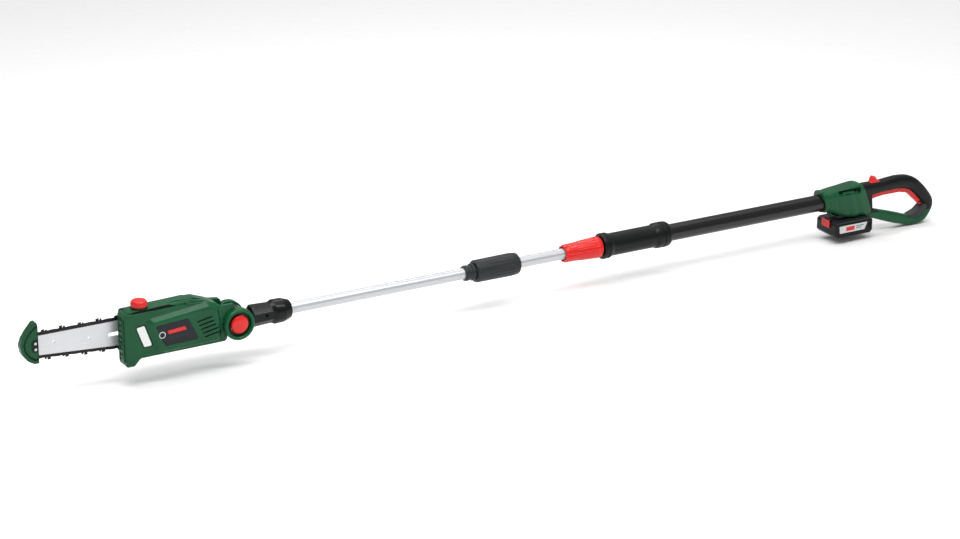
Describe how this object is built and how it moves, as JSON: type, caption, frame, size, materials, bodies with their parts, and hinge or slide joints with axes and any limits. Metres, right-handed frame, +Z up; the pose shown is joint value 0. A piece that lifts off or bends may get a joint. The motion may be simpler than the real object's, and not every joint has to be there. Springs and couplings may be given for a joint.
{
  "type": "telescoping cordless pole saw",
  "caption": "Telescoping cordless pole saw with tilting chainsaw head, nose guard, twist-lock pole, coupling sleeve, slide-on battery and D handle",
  "frame": {"origin": "centre of the bounding box in X and Y, on the floor under the D handle in Z", "axes": "+X runs along the pole from the nose guard to the D handle, +Z is up, the saw bar and sprocket cover are on the +Y side"},
  "size_m": [2.2197, 0.075, 0.177],
  "materials": {
    "green_plastic": "satin moulded, fine grain",
    "red_plastic": "glossy moulded",
    "black_plastic": "satin moulded",
    "soft_black": "soft-touch overmould",
    "grey_plastic": "satin moulded",
    "black_tube": "powder coat on aluminium",
    "silver_tube": "clear anodised",
    "bar_steel": "ground and brushed",
    "chain_steel": "blackened, oiled",
    "steel_fixing": "zinc plated",
    "motor_steel": "plain steel",
    "gear_steel": "hobbed, oiled",
    "tank_white": "translucent white",
    "badge_black": "printed plate, lettering left out",
    "label_silver": "printed foil label",
    "cell_wrap": "shrink sleeve",
    "circuit_board": "solder mask",
    "brass_contact": "plated contact"
  },
  "bodies": {
    "handle": {"handle_shell_left": "green_plastic", "handle_shell_right": "green_plastic", "grip_overmould": "soft_black", "outer_tube": "black_tube", "front_grip": "soft_black", "lock_collet": "black_plastic", "switch_module": "black_plastic", "control_board": "circuit_board", "terminal_block": "brass_contact", "handle_screws": "steel_fixing", "trigger_pin": "steel_fixing", "trigger_spring": "steel_fixing", "lock_off_spring": "steel_fixing"},
    "sliding_pole": {"inner_tube": "silver_tube", "glide_bush": "black_plastic", "coupling_core": "grey_plastic", "coupling_collar": "grey_plastic", "upper_tube": "silver_tube", "tilt_socket": "black_plastic", "socket_screw": "steel_fixing", "tilt_tooth_ring": "steel_fixing"},
    "lock_ring": {"lock_collar": "red_plastic"},
    "coupling_nut": {"coupling_sleeve": "grey_plastic"},
    "saw_head": {"head_housing_left": "green_plastic", "head_housing_right": "green_plastic", "sprocket_cover": "black_plastic", "guide_bar": "bar_steel", "nose_guard": "green_plastic", "guard_screws": "steel_fixing", "head_screws": "steel_fixing", "pivot_bolt": "steel_fixing", "tilt_spring": "steel_fixing", "bar_stud": "steel_fixing", "oil_tank": "tank_white", "oil_window": "tank_white", "side_badge": "badge_black", "motor_can": "motor_steel", "shaft_bearing": "motor_steel", "chain_drive_links": "chain_steel", "chain_tie_straps": "chain_steel", "chain_cutters": "chain_steel", "chain_rivets": "chain_steel"},
    "tilt_push": {"tilt_button": "red_plastic"},
    "drive": {"drive_shaft": "motor_steel", "chain_sprocket": "chain_steel", "output_gear": "gear_steel"},
    "rotor": {"motor_rotor": "motor_steel", "motor_pinion": "gear_steel"},
    "cover_clamp": {"cover_knob": "black_plastic"},
    "filler_plug": {"oil_cap_seal": "soft_black"},
    "filler_cap": {"oil_cap": "red_plastic"},
    "trigger": {"trigger": "red_plastic"},
    "lock_off": {"lock_off_slider": "red_plastic"},
    "battery": {"battery_case": "black_plastic", "battery_cells": "cell_wrap", "battery_label": "label_silver", "release_spring": "steel_fixing"},
    "battery_latch": {"battery_release": "red_plastic"}
  },
  "joints": [
    {"name": "telescope_slide", "type": "slide", "parent": "handle", "child": "sliding_pole", "axis": [-1, 0, 0], "range_m": [-0.08, 0.38]},
    {"name": "twist_lock", "type": "hinge", "parent": "handle", "child": "lock_ring", "pos_m": [0.16, 0, 0.095], "axis": [1, 0, 0], "range_deg": [0, 90]},
    {"name": "coupling_turn", "type": "hinge", "parent": "sliding_pole", "child": "coupling_nut", "pos_m": [-0.045, 0, 0.095], "axis": [1, 0, 0], "range_deg": [0, 360]},
    {"name": "head_tilt", "type": "hinge", "parent": "sliding_pole", "child": "saw_head", "pos_m": [-0.663, 0, 0.095], "axis": [0, 1, 0], "range_deg": [-30, 45]},
    {"name": "tilt_button_push", "type": "slide", "parent": "saw_head", "child": "tilt_push", "axis": [0, 1, 0], "range_m": [0, 0.003], "stiffness_N_per_m": 900, "deforming": ["tilt_spring"]},
    {"name": "sprocket_spin", "type": "hinge", "parent": "saw_head", "child": "drive", "pos_m": [-0.8175, 0, 0.1057], "axis": [0, 1, 0], "continuous": true, "deforming": ["chain_drive_links", "chain_tie_straps", "chain_cutters", "chain_rivets"]},
    {"name": "rotor_spin", "type": "hinge", "parent": "saw_head", "child": "rotor", "pos_m": [-0.79, 0, 0.1057], "axis": [0, 1, 0], "continuous": true},
    {"name": "cover_knob_turn", "type": "hinge", "parent": "saw_head", "child": "cover_clamp", "pos_m": [-0.877, 0, 0.108], "axis": [0, 1, 0], "continuous": true},
    {"name": "oil_cap_lift", "type": "slide", "parent": "saw_head", "child": "filler_plug", "axis": [0, 0, 1], "range_m": [0, 0.006]},
    {"name": "oil_cap_turn", "type": "hinge", "parent": "filler_plug", "child": "filler_cap", "pos_m": [-0.865, -0.004, 0.165], "axis": [0, 0, 1], "range_deg": [0, 360]},
    {"name": "trigger_pull", "type": "hinge", "parent": "handle", "child": "trigger", "pos_m": [1.069, 0, 0.052], "axis": [0, 1, 0], "range_deg": [0, 3], "stiffness_Nm_per_rad": 2, "deforming": ["trigger_spring"]},
    {"name": "lock_off_push", "type": "slide", "parent": "handle", "child": "lock_off", "axis": [1, 0, 0], "range_m": [0, 0.0025], "stiffness_N_per_m": 400, "deforming": ["lock_off_spring"]},
    {"name": "battery_slide", "type": "slide", "parent": "handle", "child": "battery", "axis": [-1, 0, 0], "range_m": [0, 0.12]},
    {"name": "battery_release_push", "type": "slide", "parent": "battery", "child": "battery_latch", "axis": [1, 0, 0], "range_m": [0, 0.003], "stiffness_N_per_m": 800, "deforming": ["release_spring"]}
  ],
  "couplings": [
    {"joint": "rotor_spin", "follows": "sprocket_spin", "ratio": -2.9286},
    {"joint": "oil_cap_lift", "follows": "oil_cap_turn", "m_per_rad": 0.00095493}
  ]
}
